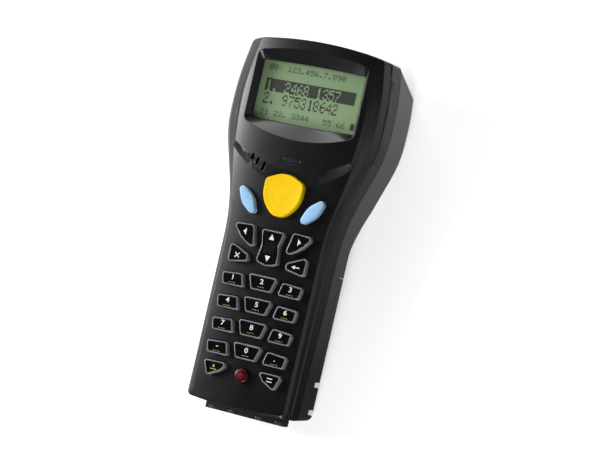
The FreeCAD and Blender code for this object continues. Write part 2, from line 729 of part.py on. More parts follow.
def rear_form(name, inset, lift, corner_low):
    """The rear shell's outside, or its inside where inset and lift are the wall."""
    body = new_body(name)
    high = rear_top
    drop = high - form_low
    side_in = inset + drop * tangent(dim("draft"))
    end_in = inset + drop * tangent(dim("end_slope"))
    loft(body, name + "_loft", "AdditiveLoft", [
        (body_outline(inset, inset, inset, inset), high, slant),
        (body_outline(side_in, side_in, end_in, side_in, corner_low), form_low, 0)])
    doc.recompute()
    pocket(body, name + "_back", [back_profile(lift)], as_size(-DEEP), as_size(DEEP), "YZ_Plane")
    return body


outer = rear_form("rear_outside", as_size(0), as_size(0), 4.5)
inner = rear_form("rear_inside", wall, wall, 2.5)
doc.recompute()


def back_edge(edge):
    """An edge between the back and the sides: it lies below the parting line and not across the form."""
    if max(vertex.Z for vertex in edge.Vertexes) > -dim("grip_depth").value + 4.0:
        return False
    faces = outer_back.Shape.ancestorsOfType(edge, Part.Face)
    backs = [item for item in faces if abs(item.normalAt(*item.Surface.parameter(edge.CenterOfMass)).x) < 1e-6]
    return len(backs) == 1


outer_back = [item for item in outer.Group if item.Name == "rear_outside_back"][0]
fillet(outer, "BackEdges", outer_back, dim("back_radius"), back_edge)
doc.recompute()

skin = cut("rear_skin", outer, inner)

# Battery cover and latch are parts of the same skin, below the split line
gap = dim("cover_gap")
WIDE = 60.0
cover_top, cover_bottom = dim("cover_top"), dim("cover_bottom")
latch_top, latch_bottom = dim("latch_top"), dim("latch_bottom")
cover_zone = box("cover_zone", (-WIDE, WIDE), (cover_bottom, cover_top - gap), (-DEEP, split - gap))
cover_shell = common("cover_shell", [skin, cover_zone])
TONGUE = 2.4
TONGUE_ROOT = 0.9
inner_back = -dim("grip_depth") + wall
tongues = [box("cover_tongue_%d" % number, (x - 4.0, x + 4.0), (cover_top - TONGUE_ROOT, cover_top + TONGUE),
               (inner_back + 0.25, inner_back + 1.6)) for number, x in enumerate((-14.0, 14.0))]
tongues += [box("tongue_root_%d" % number, (x - 4.0, x + 4.0), (cover_top - TONGUE_ROOT, cover_top - gap),
                (inner_back - 0.8, inner_back + 1.0)) for number, x in enumerate((-14.0, 14.0))]
cover_end_zone = box("cover_end_zone", (-WIDE, WIDE), (cover_bottom, cover_bottom + wall), (-DEEP, split - gap))
cover_end = common("cover_end", [inner, cover_end_zone])
keep(fuse("battery_cover", [cover_shell, cover_end] + tongues))
latch_zone = box("latch_zone", (-WIDE, WIDE), (latch_bottom, latch_top), (-DEEP, split - gap))
latch_skin = common("latch_skin", [skin, latch_zone])
LATCH_END = 1.4
latch_ends = []
for number, limits in enumerate(((latch_bottom, latch_bottom + LATCH_END), (latch_top - LATCH_END, latch_top))):
    end_zone = box("latch_end_zone_%d" % number, (-WIDE, WIDE), limits, (-DEEP, split - gap))
    latch_ends.append(common("latch_end_%d" % number, [inner, end_zone]))
keep(fuse("battery_latch", [latch_skin] + latch_ends))

# Rear shell: the skin without the cover and latch, closed by a floor and two end walls, with a battery well
open_zone = box("open_zone", (-WIDE, WIDE), (dim("notch_bottom"), cover_top), (-DEEP, split))
floor_top = split + wall
floor_zone = box("floor_zone", (-WIDE, WIDE), (grip_end - 2, cover_top + wall), (split, floor_top))
floor_plate = common("floor_plate", [inner, floor_zone])
neck_zone = box("neck_wall_zone", (-WIDE, WIDE), (cover_top, cover_top + wall), (-DEEP, floor_top))
neck_wall = common("neck_wall", [inner, neck_zone])
notch_bottom = dim("notch_bottom")
stub_zone = box("stub_wall_zone", (-WIDE, WIDE), (notch_bottom - wall, notch_bottom), (-DEEP, floor_top))
stub_wall = common("stub_wall", [inner, stub_zone])
play = dim("battery_play")
bay_half = dim("battery_half") + play
bay_top, bay_bottom = dim("battery_top") + play, dim("battery_bottom") - play
bay_ceiling = rear_top - 1.4
WELL_WALL = 1.2
well = box("well", (-bay_half - WELL_WALL, bay_half + WELL_WALL),
           (bay_bottom - WELL_WALL, bay_top + WELL_WALL), (split, bay_ceiling + WELL_WALL))
bay = box("bay", (-bay_half, bay_half), (bay_bottom, bay_top), (-DEEP, bay_ceiling))
tongue_slots = [box("tongue_slot_%d" % number, (x - 4.4, x + 4.4), (cover_top - 1.0, cover_top + wall + 1.0),
                    (inner_back - 0.05, inner_back + 3.2)) for number, x in enumerate((-14.0, 14.0))]
POST_WALL = 1.3
post_tops = [cylinder("post_%d" % number, x, y, low, parting + SLANT_ROOM, hole_radius + POST_WALL)
             for number, (x, y, low) in enumerate([(x, y, as_size(-DEEP)) for x, y in case_screws_head]
                                                  + [(x, y, split) for x, y in case_screws_grip])]
post_cap = new_body("post_cap")
pad(post_cap, "PostCap", [everywhere], rear_top - 0.01, parting, slant)
posts = common("posts", [fuse("post_group", post_tops), fuse("post_room", [inner, post_cap])])
HEAD_SEAT = 5.0
head_seats = [rear_top - HEAD_SEAT, rear_top - HEAD_SEAT, split + 1.2, split + 1.2]
head_radius = as_size(1.75)
seat_holes = [cylinder("seat_hole_%d" % number, x, y, -DEEP, seat, head_radius + 0.25)
              for number, ((x, y), seat) in enumerate(zip(case_places, head_seats))]
passages = [cylinder("passage_%d" % number, x, y, -DEEP, parting + SLANT_ROOM, hole_radius + 0.1)
            for number, (x, y) in enumerate(case_places)]
window_z = (-dim("window_low"), -dim("window_high"))
window_hole = box("window_hole", (-dim("window_half"), dim("window_half")),
                  (half_length - 24.0, FAR), window_z)
shell_open = cut("shell_open", skin, open_zone)
shell_solid = fuse("shell_solid", [shell_open, floor_plate, neck_wall, stub_wall, well, posts])
rear_shell = shell_solid
for tool in [bay, window_hole] + tongue_slots + seat_holes + passages:
    rear_shell = cut("rear_less_" + tool.Name, rear_shell, tool)
rear_shell.Label = "rear_shell"
keep(rear_shell)

# Screws that hold the two shells, heads in their counterbores
case_screws = [screw("case_screw_%d" % number, x, y, seat - 1.2, seat, parting + 5.0, head_radius)
               for number, ((x, y), seat) in enumerate(zip(case_places, head_seats))]
keep(group("case_screws", case_screws))

# Battery pack and the leaf contacts above it
keep(group("battery_pack", [box("pack_block", (-dim("battery_half"), dim("battery_half")),
                                (dim("battery_bottom"), dim("battery_top")),
                                (inner_back + 0.35, bay_ceiling - 0.2))]))
keep(group("battery_contacts", [box("battery_contact_%d" % number, (x - 0.9, x + 0.9),
                                    (dim("battery_top") - 6.0, dim("battery_top") - 2.0),
                                    (bay_ceiling - 0.2, bay_ceiling))
                                for number, x in enumerate((-9.0, -3.0, 3.0, 9.0))]))

# Connector plate on the grip's end, with its charging contacts
plate_top = -dim("plate_level")
plate_bottom = plate_top - dim("plate_depth")
plate_block = box("plate_block", (-dim("plate_half"), dim("plate_half")), (-half_length, grip_end + 4.0),
                  (plate_bottom, plate_top))
contact_x = (-16.8, -6.9, 6.9, 16.8)
CONTACT_HALF = 1.3
contact_blocks = [box("contact_block_%d" % number, (x - CONTACT_HALF, x + CONTACT_HALF),
                      (-half_length + 0.2, grip_end + 4.0), (plate_bottom + 1.2, plate_top - 1.2))
                  for number, x in enumerate(contact_x)]
contact_rooms = [box("contact_room_%d" % number, (x - CONTACT_HALF, x + CONTACT_HALF),
                     (-half_length - 1.0, grip_end + 4.0), (plate_bottom + 1.2, plate_top - 1.2))
                 for number, x in enumerate(contact_x)]
keep(cut("connector_plate", plate_block, fuse("plate_tools", [outer] + contact_rooms)))
keep(group("charge_contacts", [cut("charge_contact_%d" % number, block, outer)
                               for number, block in enumerate(contact_blocks)]))

# Scan window in the sloped end, engine and bracket behind it
pane_play = 0.1
window_pane = box("window_pane", (-dim("window_half") + pane_play, dim("window_half") - pane_play),
                  (half_length - 24.0, FAR), (window_z[0] + pane_play, window_z[1] - pane_play))
keep(common("scan_window", [skin, window_pane]))
ENGINE_HALF = 12.0
engine_y = (half_length - 36.0, half_length - 16.0)
engine_z = (-29.0, -16.5)
engine_block = box("engine_block", (-ENGINE_HALF, ENGINE_HALF), engine_y, engine_z)
engine_eye = box("engine_eye", (-8.0, 8.0), (engine_y[1] - 2.0, engine_y[1] + 1.0), (-26.5, -19.5))
keep(cut("scan_engine", engine_block, engine_eye))
bracket_y = (engine_y[0] - 1.0, engine_y[1] - 0.5)
bracket_plate = box("bracket_plate", (-17.5, 17.5), bracket_y, (engine_z[0] - 1.2, engine_z[0]))
bracket_legs = [box("bracket_leg_%d" % number, (x - 0.8, x + 0.8), bracket_y, (-DEEP, engine_z[0] - 0.6))
                for number, x in enumerate((-16.7, 16.7))]
legs = common("bracket_feet", [fuse("bracket_leg_pair", bracket_legs), inner])
keep(fuse("scan_bracket", [bracket_plate, legs]))

# One Placement for every piece: turned onto its back, lifted to the surface and centred lengthwise
tilt = dim("rest_tilt")
lift_up = rest_depth(0) * cosine(tilt)
rear_top_at_end = rear_top - half_length * sine(slant)
upper_reach = half_length * cosine(slant) * cosine(tilt) - rear_top_at_end * sine(tilt)
lower_reach = half_length * cosine(tilt) + plate_top * sine(tilt)
shift_along = (lower_reach - upper_reach) / 2
for node in nodes:
    node.Placement = FreeCAD.Placement(FreeCAD.Vector(0, shift_along.value, lift_up.value),
                                       FreeCAD.Rotation(FreeCAD.Vector(1, 0, 0), tilt.value))
    bind(node, "Placement.Base.y", shift_along)
    bind(node, "Placement.Base.z", lift_up)
    node.setExpression("Placement.Rotation.Angle", "dims.rest_tilt * 1deg")
doc.recompute()

# Every object must have worked before anything is written
for item in doc.Objects:
    if "Invalid" in item.State or "Error" in item.State:
        raise RuntimeError("%s failed: %s" % (item.Name, item.State))
for node in nodes:
    if node.Shape.isNull() or not node.Shape.isValid():
        raise RuntimeError("%s has no valid shape" % node.Label)

os.makedirs("parts", exist_ok=True)
for node in nodes:
    node.Shape.exportStep("parts/%s.step" % node.Label)
    print(node.Label, len(node.Shape.Solids), "solids", round(node.Shape.Volume, 1), "cubic mm")
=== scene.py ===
import json
import math
import bpy
from mathutils import Matrix, Vector


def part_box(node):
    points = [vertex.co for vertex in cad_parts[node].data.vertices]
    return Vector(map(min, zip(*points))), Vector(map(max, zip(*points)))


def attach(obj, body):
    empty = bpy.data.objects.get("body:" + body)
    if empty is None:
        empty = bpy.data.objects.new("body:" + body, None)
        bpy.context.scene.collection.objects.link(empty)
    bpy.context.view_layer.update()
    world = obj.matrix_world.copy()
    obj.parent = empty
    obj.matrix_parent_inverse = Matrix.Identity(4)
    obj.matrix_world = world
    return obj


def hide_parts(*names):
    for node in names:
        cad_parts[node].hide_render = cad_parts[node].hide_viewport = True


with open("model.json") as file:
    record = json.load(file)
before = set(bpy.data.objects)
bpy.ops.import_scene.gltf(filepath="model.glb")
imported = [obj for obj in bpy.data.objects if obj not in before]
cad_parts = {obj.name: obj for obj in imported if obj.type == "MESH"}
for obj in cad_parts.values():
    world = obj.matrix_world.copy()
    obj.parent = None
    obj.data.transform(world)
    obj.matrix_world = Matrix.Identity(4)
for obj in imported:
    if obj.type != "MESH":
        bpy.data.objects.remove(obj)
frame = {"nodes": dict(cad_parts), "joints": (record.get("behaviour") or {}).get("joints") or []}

# Portable barcode data terminal, lying on its back on a white table.
# Lengths in the dictionaries are millimetres in the face frame: X across, Y towards the head, Z out of the face.

print("stage: frame loaded")
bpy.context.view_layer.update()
mm = 0.001
nodes = frame["nodes"]
bpy.context.scene.view_settings.view_transform = "Standard"

# The keys press straight into the face, so their joint gives the face's tilt
pressAxis = [j["axis"] for j in frame["joints"] if j["name"] == "scan_key_press"][0]
faceTilt = math.atan2(pressAxis[1], -pressAxis[2])
paneLow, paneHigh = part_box("display_pane")
paneMiddle = {"y": 60.0, "z": -3.8}      # the clear pane's middle in the face frame
paneCentre = Vector((0, paneMiddle["y"] * mm, paneMiddle["z"] * mm))
tiltMatrix = Matrix.Rotation(faceTilt, 4, "X")
facePlace = Matrix.Translation((paneLow + paneHigh) / 2 - tiltMatrix @ paneCentre) @ tiltMatrix
faceReturn = facePlace.inverted()

# how a CAD node's triangles become a mesh to work on, and how its shading is weighted
meshCare = {"mergeM": 2e-6, "flatAngle": 0.4, "largeFaceWeight": 80}


def deselectAll():
    if bpy.context.object and bpy.context.object.mode != "OBJECT":
        bpy.ops.object.mode_set(mode="OBJECT")
    bpy.ops.object.select_all(action="DESELECT")


def pick(piece):
    deselectAll()
    piece.select_set(True)
    bpy.context.view_layer.objects.active = piece


def applyModifiers(piece):
    pick(piece)
    for modifier in list(piece.modifiers):
        bpy.ops.object.modifier_apply(modifier=modifier.name)


def topOf(nodeName):
    # highest point of a CAD node in the face frame, in millimetres
    return max((faceReturn @ vertex.co).z for vertex in nodes[nodeName].data.vertices) / mm


def copyOfNode(nodeName, pieceName):
    # own mesh, in the face frame, seams merged and flat faces joined
    source = nodes[nodeName]
    piece = bpy.data.objects.new(pieceName, source.data.copy())
    bpy.context.scene.collection.objects.link(piece)
    piece.data.transform(faceReturn)
    piece.data.materials.clear()
    pick(piece)
    bpy.ops.object.mode_set(mode="EDIT")
    bpy.ops.mesh.select_all(action="SELECT")
    bpy.ops.mesh.remove_doubles(threshold=meshCare["mergeM"])
    bpy.ops.mesh.dissolve_limited(angle_limit=math.radians(meshCare["flatAngle"]))
    bpy.ops.object.mode_set(mode="OBJECT")
    return piece


def smooth(piece, angle=30):
    # edges share their gradient with small faces only, so that the large ones stay flat
    pick(piece)
    bpy.ops.object.shade_smooth_by_angle(angle=math.radians(angle))
    modifier = piece.modifiers.new("normals", "WEIGHTED_NORMAL")
    modifier.weight = meshCare["largeFaceWeight"]
    modifier.keep_sharp = True
    applyModifiers(piece)


def finishPiece(piece, body, slotName, *replaced):
    piece.data.transform(facePlace)
    piece.data.update()
    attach(piece, body)
    if replaced:
        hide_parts(*replaced)
    deselectAll()


def linearColour(hexText, alpha=1.0):
    values = [int(hexText[i:i + 2], 16) / 255 for i in (1, 3, 5)]
    values = [v / 12.92 if v <= 0.04045 else ((v + 0.055) / 1.055) ** 2.4 for v in values]
    return (*values, alpha)


def addNode(tree, kind, settings=None, inputs=None, links=None):
    node = tree.nodes.new(kind)
    for name, value in (settings or {}).items():
        setattr(node, name, value)
    for name, value in (inputs or {}).items():
        node.inputs[name].default_value = value
    for name, socket in (links or {}).items():
        tree.links.new(socket, node.inputs[name])
    return node


def newMaterial(name):
    material = bpy.data.materials.new(name)
    material.use_nodes = True
    tree = material.node_tree
    shader = [n for n in tree.nodes if n.type == "BSDF_PRINCIPLED"][0]
    return material, tree, shader


def mouldedPlastic(name, look):
    # colour with a faint mottle, roughness that varies a little, and the mould's fine texture as bump;
    # edgeMm rounds the mould's sharp edges; crownM is the radius of a face that is slightly domed across,
    # and falls away by a further edgeSlope at edgeAtM from the middle
    material, tree, shader = newMaterial(name)
    place = addNode(tree, "ShaderNodeTexCoord").outputs["Object"]
    cloud = addNode(tree, "ShaderNodeTexNoise", None, {"Scale": 1000 / look["cloudMm"], "Detail": 3.0},
                    {"Vector": place})
    grain = addNode(tree, "ShaderNodeTexNoise", None, {"Scale": 1000 / look["grainMm"], "Detail": 2.0},
                    {"Vector": place})
    colour = addNode(tree, "ShaderNodeValToRGB", None, None, {"Fac": cloud.outputs["Fac"]})
    for element, position, hexText in zip(colour.color_ramp.elements, (0.3, 0.7), (look["dark"], look["light"])):
        element.position = position
        element.color = linearColour(hexText)
    rough = addNode(tree, "ShaderNodeMapRange", None, {"To Min": look["rough"][0], "To Max": look["rough"][1]},
                    {"Value": cloud.outputs["Fac"]})
    bump = addNode(tree, "ShaderNodeBump", None, {"Strength": look["bump"], "Distance": look["bumpMm"] * mm},
                   {"Height": grain.outputs["Fac"]})
    if "edgeMm" in look:
        edge = addNode(tree, "ShaderNodeBevel", {"samples": 6}, {"Radius": look["edgeMm"] * mm})
        tree.links.new(edge.outputs["Normal"], bump.inputs["Normal"])
    if "crownM" in look:
        across = addNode(tree, "ShaderNodeSeparateXYZ", None, None, {"Vector": place}).outputs["X"]
        square = addNode(tree, "ShaderNodeMath", {"operation": "MULTIPLY"}, None, {0: across, 1: across})
        steeper = addNode(tree, "ShaderNodeMath", {"operation": "MULTIPLY_ADD"}, None, {0: square.outputs[0]})
        steeper.inputs[1].default_value = -0.25 * look["edgeSlope"] / look["edgeAtM"] ** 3
        steeper.inputs[2].default_value = -0.5 / look["crownM"]
        sag = addNode(tree, "ShaderNodeMath", {"operation": "MULTIPLY"}, None,
                      {0: square.outputs[0], 1: steeper.outputs[0]})
        bump = addNode(tree, "ShaderNodeBump", None, {"Strength": 1.0, "Distance": 1.0},
                       {"Height": sag.outputs[0], "Normal": bump.outputs["Normal"]})
    tree.links.new(colour.outputs["Color"], shader.inputs["Base Color"])
    tree.links.new(rough.outputs["Result"], shader.inputs["Roughness"])
    tree.links.new(bump.outputs["Normal"], shader.inputs["Normal"])
    shader.inputs["IOR"].default_value = look.get("ior", 1.54)
    shader.inputs["Specular IOR Level"].default_value = look.get("specular", 0.5)
    shader.inputs["Coat Weight"].default_value = look.get("coat", 0.0)
    shader.inputs["Coat Roughness"].default_value = look.get("coatRough", 0.1)
    shader.inputs["Metallic"].default_value = look.get("metallic", 0.0)
    shader.inputs["Alpha"].default_value = look.get("alpha", 1.0)
    shader.inputs["Subsurface Weight"].default_value = look.get("subsurface", 0.0)
    shader.inputs["Subsurface Radius"].default_value = (0.001, 0.001, 0.001)
    return material


plasticLooks = {
    # spark-eroded ABS: dark charcoal satin with a very fine sand texture
    "caseAbs": {"dark": "#0e0e0f", "light": "#121213", "cloudMm": 9.0, "grainMm": 0.35, "rough": (0.27, 0.33),
                "bump": 0.15, "bumpMm": 0.01, "edgeMm": 0.4, "crownM": 0.24, "edgeSlope": 0.12, "edgeAtM": 0.03},
    # black lacquer on the key tops: glossy, nearly flawless
    "keyLacquer": {"dark": "#040405", "light": "#070708", "cloudMm": 4.0, "grainMm": 0.6, "rough": (0.16, 0.24),
                   "bump": 0.06, "bumpMm": 0.01, "coat": 0.2, "edgeMm": 0.2},
    # smoke-grey polycarbonate under the lacquer shows at the key's rim and sides
    "keySmoke": {"dark": "#7c8081", "light": "#8b8f91", "cloudMm": 3.0, "grainMm": 0.5, "rough": (0.28, 0.36),
                 "bump": 0.08, "bumpMm": 0.01, "ior": 1.58, "edgeMm": 0.15},
    # solid-coloured polycarbonate, satin: strong even colour and a broad soft highlight
    "yellowPolycarbonate": {"dark": "#ffcc00", "light": "#ffd600", "cloudMm": 8.0, "grainMm": 0.5,
                            "rough": (0.42, 0.5), "bump": 0.08, "bumpMm": 0.01, "specular": 0.2},
    "bluePolycarbonate": {"dark": "#94c6f2", "light": "#a4d2f8", "cloudMm": 6.0, "grainMm": 0.5,
                          "rough": (0.36, 0.44), "bump": 0.08, "bumpMm": 0.01},
    # a deep red that is almost black where no light falls
    "redPolycarbonate": {"dark": "#38040c", "light": "#4c0814", "cloudMm": 2.0, "grainMm": 0.5,
                         "rough": (0.22, 0.3), "bump": 0.04, "bumpMm": 0.01},
    # screen-printed ink: flat and opaque, a little duller than the key under it
    "whiteInk": {"dark": "#e6e6e2", "light": "#f2f2ee", "cloudMm": 1.0, "grainMm": 0.1, "rough": (0.4, 0.5),
                 "bump": 0.1, "bumpMm": 0.01},
    "yellowInk": {"dark": "#a8a048", "light": "#b8b058", "cloudMm": 1.0, "grainMm": 0.1, "rough": (0.4, 0.5),
                  "bump": 0.1, "bumpMm": 0.01},
    "redInk": {"dark": "#a81830", "light": "#b82038", "cloudMm": 1.0, "grainMm": 0.1, "rough": (0.3, 0.4),
               "bump": 0.1, "bumpMm": 0.01},
    # printed polyester film: pale grey, evenly matt
    "labelFilm": {"dark": "#8a8c8d", "light": "#969899", "cloudMm": 6.0, "grainMm": 0.5, "rough": (0.4, 0.5),
                  "bump": 0.05, "bumpMm": 0.01},
    # moulded silicone: dull black that shows no highlight
    "blackRubber": {"dark": "#050505", "light": "#090909", "cloudMm": 3.0, "grainMm": 0.3, "rough": (0.7, 0.85),
                    "bump": 0.3, "bumpMm": 0.03},
    # tinted acrylic: dark, with a clear gloss
    "smokedLens": {"dark": "#1e2124", "light": "#2c3034", "cloudMm": 3.0, "grainMm": 0.6, "rough": (0.15, 0.25),
                   "bump": 0.05, "bumpMm": 0.02, "coat": 0.5},
    # dyed filter acrylic over the scan engine: nearly black red, polished
    "redFilter": {"dark": "#1a0206", "light": "#24040a", "cloudMm": 8.0, "grainMm": 0.8, "rough": (0.05, 0.09),
                  "bump": 0.03, "bumpMm": 0.02, "coat": 0.8},
    # thin gold over nickel: a pale warm metal
    "goldPlate": {"dark": "#dcc080", "light": "#ecd498", "cloudMm": 1.5, "grainMm": 0.2, "rough": (0.2, 0.35),
                  "bump": 0.1, "bumpMm": 0.01, "metallic": 1.0, "ior": 1.5},
    # zinc-plated steel: a cool grey metal, blurred a little by the plating
    "zincSteel": {"dark": "#8e9092", "light": "#a8aaac", "cloudMm": 1.5, "grainMm": 0.2, "rough": (0.25, 0.4),
                  "bump": 0.15, "bumpMm": 0.01, "metallic": 1.0, "ior": 1.5},
    # solder mask on glass laminate: deep green satin
    "greenLaminate": {"dark": "#0a3a1c", "light": "#0e4a24", "cloudMm": 5.0, "grainMm": 0.4, "rough": (0.3, 0.4),
                      "bump": 0.15, "bumpMm": 0.02},
    # shrink sleeve round the cell: dark blue film, slightly wavy
    "batteryWrap": {"dark": "#1c2436", "light": "#222c42", "cloudMm": 8.0, "grainMm": 0.6, "rough": (0.35, 0.45),
                    "bump": 0.1, "bumpMm": 0.03},
    # glass-filled nylon: dull charcoal with a dusty grain
    "blackNylon": {"dark": "#0c0c0d", "light": "#111112", "cloudMm": 5.0, "grainMm": 0.4, "rough": (0.45, 0.55),
                   "bump": 0.2, "bumpMm": 0.02},
}
finishes = {name: mouldedPlastic(name, look) for name, look in plasticLooks.items()}

displayLook = {"pale": "#8da67c", "deep": "#769366", "gridColour": "#5c7458", "cloudScale": 40.0, "pitchMm": 0.367,
               "gridLine": 0.12, "gridWeight": 0.10, "rough": 0.5}
paneLook = {"tint": "#a8b8a4", "alpha": 0.03, "ior": 1.58, "rough": (0.04, 0.1), "cloudScale": 60.0}


def displayGlass():
    # grey-green reflective liquid crystal: a slow gradient, and the faint grid of its dots
    material, tree, shader = newMaterial("liquidCrystal")
    place = addNode(tree, "ShaderNodeTexCoord").outputs["Object"]
    cloud = addNode(tree, "ShaderNodeTexNoise", None, {"Scale": displayLook["cloudScale"], "Detail": 1.0},
                    {"Vector": place})
    split = addNode(tree, "ShaderNodeSeparateXYZ", None, None, {"Vector": place})
    lines = []
    for axis in ("X", "Y"):
        step = addNode(tree, "ShaderNodeMath", {"operation": "DIVIDE"}, None, {0: split.outputs[axis]})
        step.inputs[1].default_value = displayLook["pitchMm"] * mm
        part = addNode(tree, "ShaderNodeMath", {"operation": "FRACT"}, None, {0: step.outputs[0]})
        edge = addNode(tree, "ShaderNodeMath", {"operation": "LESS_THAN"}, None, {0: part.outputs[0]})
        edge.inputs[1].default_value = displayLook["gridLine"]
        lines.append(edge)
    grid = addNode(tree, "ShaderNodeMath", {"operation": "MAXIMUM"}, None,
                   {0: lines[0].outputs[0], 1: lines[1].outputs[0]})
    faint = addNode(tree, "ShaderNodeMath", {"operation": "MULTIPLY"}, None, {0: grid.outputs[0]})
    faint.inputs[1].default_value = displayLook["gridWeight"]
    base = addNode(tree, "ShaderNodeValToRGB", None, None, {"Fac": cloud.outputs["Fac"]})
    base.color_ramp.elements[0].color = linearColour(displayLook["deep"])
    base.color_ramp.elements[1].color = linearColour(displayLook["pale"])
    mixed = addNode(tree, "ShaderNodeMix", {"data_type": "RGBA"}, None, {"Factor": faint.outputs[0]})
    tree.links.new(base.outputs["Color"], mixed.inputs[6])
    mixed.inputs[7].default_value = linearColour(displayLook["gridColour"])
    tree.links.new(mixed.outputs[2], shader.inputs["Base Color"])
    shader.inputs["Roughness"].default_value = displayLook["rough"]
    return material


def clearPane():
    # polycarbonate pane: almost invisible, with a soft gloss
    material, tree, shader = newMaterial("clearPolycarbonate")
    place = addNode(tree, "ShaderNodeTexCoord").outputs["Object"]
    smear = addNode(tree, "ShaderNodeTexNoise", None, {"Scale": paneLook["cloudScale"], "Detail": 2.0},
                    {"Vector": place})
    rough = addNode(tree, "ShaderNodeMapRange", None, {"To Min": paneLook["rough"][0], "To Max": paneLook["rough"][1]},
                    {"Value": smear.outputs["Fac"]})
    tree.links.new(rough.outputs["Result"], shader.inputs["Roughness"])
    shader.inputs["Base Color"].default_value = linearColour(paneLook["tint"])
    shader.inputs["Alpha"].default_value = paneLook["alpha"]
    shader.inputs["IOR"].default_value = paneLook["ior"]
    return material


finishes["liquidCrystal"] = displayGlass()
finishes["clearPolycarbonate"] = clearPane()
# switched-on dots: warm black, dull as the crystal behind them
dotLook = {"dark": "#120f0c", "light": "#1c1814", "cloudMm": 5.0, "grainMm": 0.3, "rough": (0.4, 0.5),
           "bump": 0.05, "bumpMm": 0.01}
finishes["displayDots"] = mouldedPlastic("displayDots", dotLook)


def paint(piece, *names):
    piece.data.materials.clear()
    for name in names:
        piece.data.materials.append(finishes[name])


# CAD nodes that stay as they are get their finish here
nodeFinishes = {
    "case_gasket": "blackRubber", "display_pane": "clearPolycarbonate", "display_gasket": "blackRubber",
    "display_panel": "liquidCrystal", "display_backlight": "blackNylon", "status_light": "smokedLens",
    "keypad_mat": "blackRubber", "snap_domes": "zincSteel", "main_board": "greenLaminate", "buzzer": "blackNylon",
    "backup_cell": "zincSteel", "board_screws": "zincSteel", "case_screws": "zincSteel",
    "battery_pack": "batteryWrap", "battery_contacts": "goldPlate", "charge_contacts": "goldPlate",
    "scan_window": "redFilter", "scan_engine": "blackNylon", "scan_bracket": "zincSteel",
    "status_lens": "smokedLens", "connector_plate": "blackNylon"}
for nodeName, finish in nodeFinishes.items():
    if nodeName in nodes:
        paint(nodes[nodeName], finish)

print("stage: case")
casePieces = {
    "front_shell": {"piece": "front_shell_finish", "body": "case", "smooth": 7.5},   # keeps the block's crease
    "rear_shell": {"piece": "rear_shell_finish", "body": "case", "smooth": 22},
    "battery_cover": {"piece": "battery_cover_finish", "body": "cover", "smooth": 22},
    "battery_latch": {"piece": "battery_latch_finish", "body": "latch", "smooth": 22},
}
for nodeName, settings in casePieces.items():
    shell = copyOfNode(nodeName, settings["piece"])
    smooth(shell, settings["smooth"])
    paint(shell, "caseAbs")
    finishPiece(shell, settings["body"], "case_plastic", nodeName)

print("stage: keys")
keyFace = {"top": topOf("number_key_5"), "rim": 0.32, "inkRise": 0.02, "smooth": 35}


def topFaces(piece, level, tolerance=0.02):
    # leaves the piece in edit mode with its flat top selected
    pick(piece)
    bpy.ops.object.mode_set(mode="EDIT")
    bpy.ops.mesh.select_all(action="DESELECT")
    bpy.ops.object.mode_set(mode="OBJECT")
    for face in piece.data.polygons:
        face.select = face.normal.z > 0.99 and abs(face.center.z - level * mm) < tolerance * mm
    if not any(face.select for face in piece.data.polygons):
        print("no flat top on", piece.name)
    bpy.ops.object.mode_set(mode="EDIT")
    bpy.ops.mesh.select_mode(type="FACE")


def lacqueredKey(name):
    # grey body, black top inside a thin grey rim
    key = copyOfNode(name, name + "_cap")
    paint(key, "keySmoke", "keyLacquer")
    topFaces(key, keyFace["top"])
    bpy.ops.mesh.inset(thickness=keyFace["rim"] * mm, depth=0)
    key.active_material_index = 1
    bpy.ops.object.material_slot_assign()
    bpy.ops.object.mode_set(mode="OBJECT")
    smooth(key, keyFace["smooth"])
    finishPiece(key, name + "_body", "black_key", name)


blackKeys = [name for name in nodes if name.startswith(("number_key", "arrow_key", "corner_key", "lower_key"))]
blackKeys += ["minus_key", "dot_key", "rocker_key"]
for name in blackKeys:
    lacqueredKey(name)


def scaleInwards(piece, rings):
    # the selected face shrinks about its middle in steps; each ring is (scale of the face, drop in millimetres)
    middle = sum((piece.matrix_world @ face.center * face.area for face in chosenFaces(piece)), Vector())
    middle /= sum(face.area for face in chosenFaces(piece))
    bpy.ops.object.mode_set(mode="EDIT")
    before, height = 1.0, 0.0
    for scale, drop in rings:
        bpy.ops.mesh.extrude_region_move(TRANSFORM_OT_translate={"value": (0, 0, (height - drop) * mm)})
        bpy.ops.transform.resize(value=(scale / before, scale / before, 1), center_override=middle)
        before, height = scale, drop


def chosenFaces(piece):
    bpy.ops.object.mode_set(mode="OBJECT")
    return [face for face in piece.data.polygons if face.select]


# rings from the rim inwards: (scale of the top face, depth below the rim, negative for a dome)
sideDome = ((0.95, -0.05), (0.86, -0.10), (0.7, -0.15), (0.5, -0.18), (0.25, -0.2))
dishes = {
    "scan_key": {"finish": "yellowPolycarbonate", "slot": "yellow_key", "smooth": 40,
                 "rings": ((0.97, 0.0), (0.90, 0.06), (0.84, 0.16), (0.76, 0.22), (0.62, 0.27), (0.44, 0.31),
                           (0.22, 0.33))},
    "side_key_left": {"finish": "bluePolycarbonate", "slot": "blue_key", "smooth": 40, "rings": sideDome},
    "side_key_right": {"finish": "bluePolycarbonate", "slot": "blue_key", "smooth": 40, "rings": sideDome},
    "power_key": {"finish": "redPolycarbonate", "slot": "red_key", "smooth": 50,
                  "rings": ((0.92, -0.06), (0.8, -0.13), (0.64, -0.19), (0.44, -0.23), (0.2, -0.25))},
}
for name, dish in dishes.items():
    key = copyOfNode(name, name + "_cap")
    topFaces(key, keyFace["top"])
    scaleInwards(key, dish["rings"])
    bpy.ops.object.mode_set(mode="OBJECT")
    smooth(key, dish["smooth"])
    paint(key, dish["finish"])
    finishPiece(key, name + "_body", dish["slot"], name)

